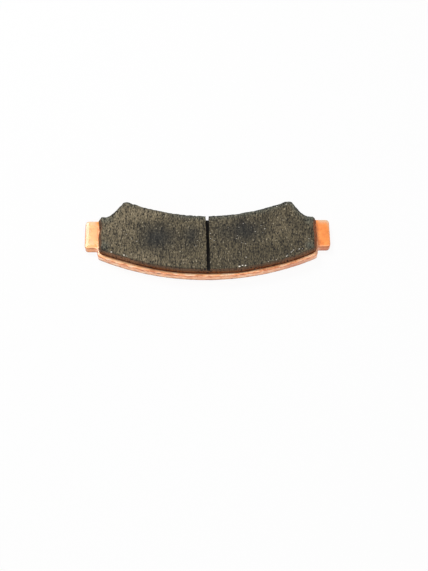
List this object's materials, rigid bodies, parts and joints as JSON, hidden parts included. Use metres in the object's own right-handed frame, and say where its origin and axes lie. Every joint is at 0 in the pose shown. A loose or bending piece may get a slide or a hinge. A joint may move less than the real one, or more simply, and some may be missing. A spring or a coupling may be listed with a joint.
{
  "type": "disc brake pad",
  "caption": "Curved disc brake pad: a copper-plated steel backing plate with an ear at each end, and a sintered friction block with a sawn groove across its middle.",
  "frame": {"origin": "on the plate's back face, midway between the two ears", "axes": "+X along the pad from ear to ear, +Y towards the axis of the disc, +Z the way that the friction face looks"},
  "size_m": [0.1046, 0.0355, 0.0073],
  "materials": {
    "copper_plated_steel": "steel blanked from sheet, tumbled and copper plated, satin, with a sheared edge",
    "sintered_metal": "sintered copper, iron and graphite powder, matt and open-pored, face ground with streaks across the pad"
  },
  "bodies": {
    "root": {"backing_plate": "copper_plated_steel", "friction_block": "sintered_metal"}
  },
  "joints": []
}
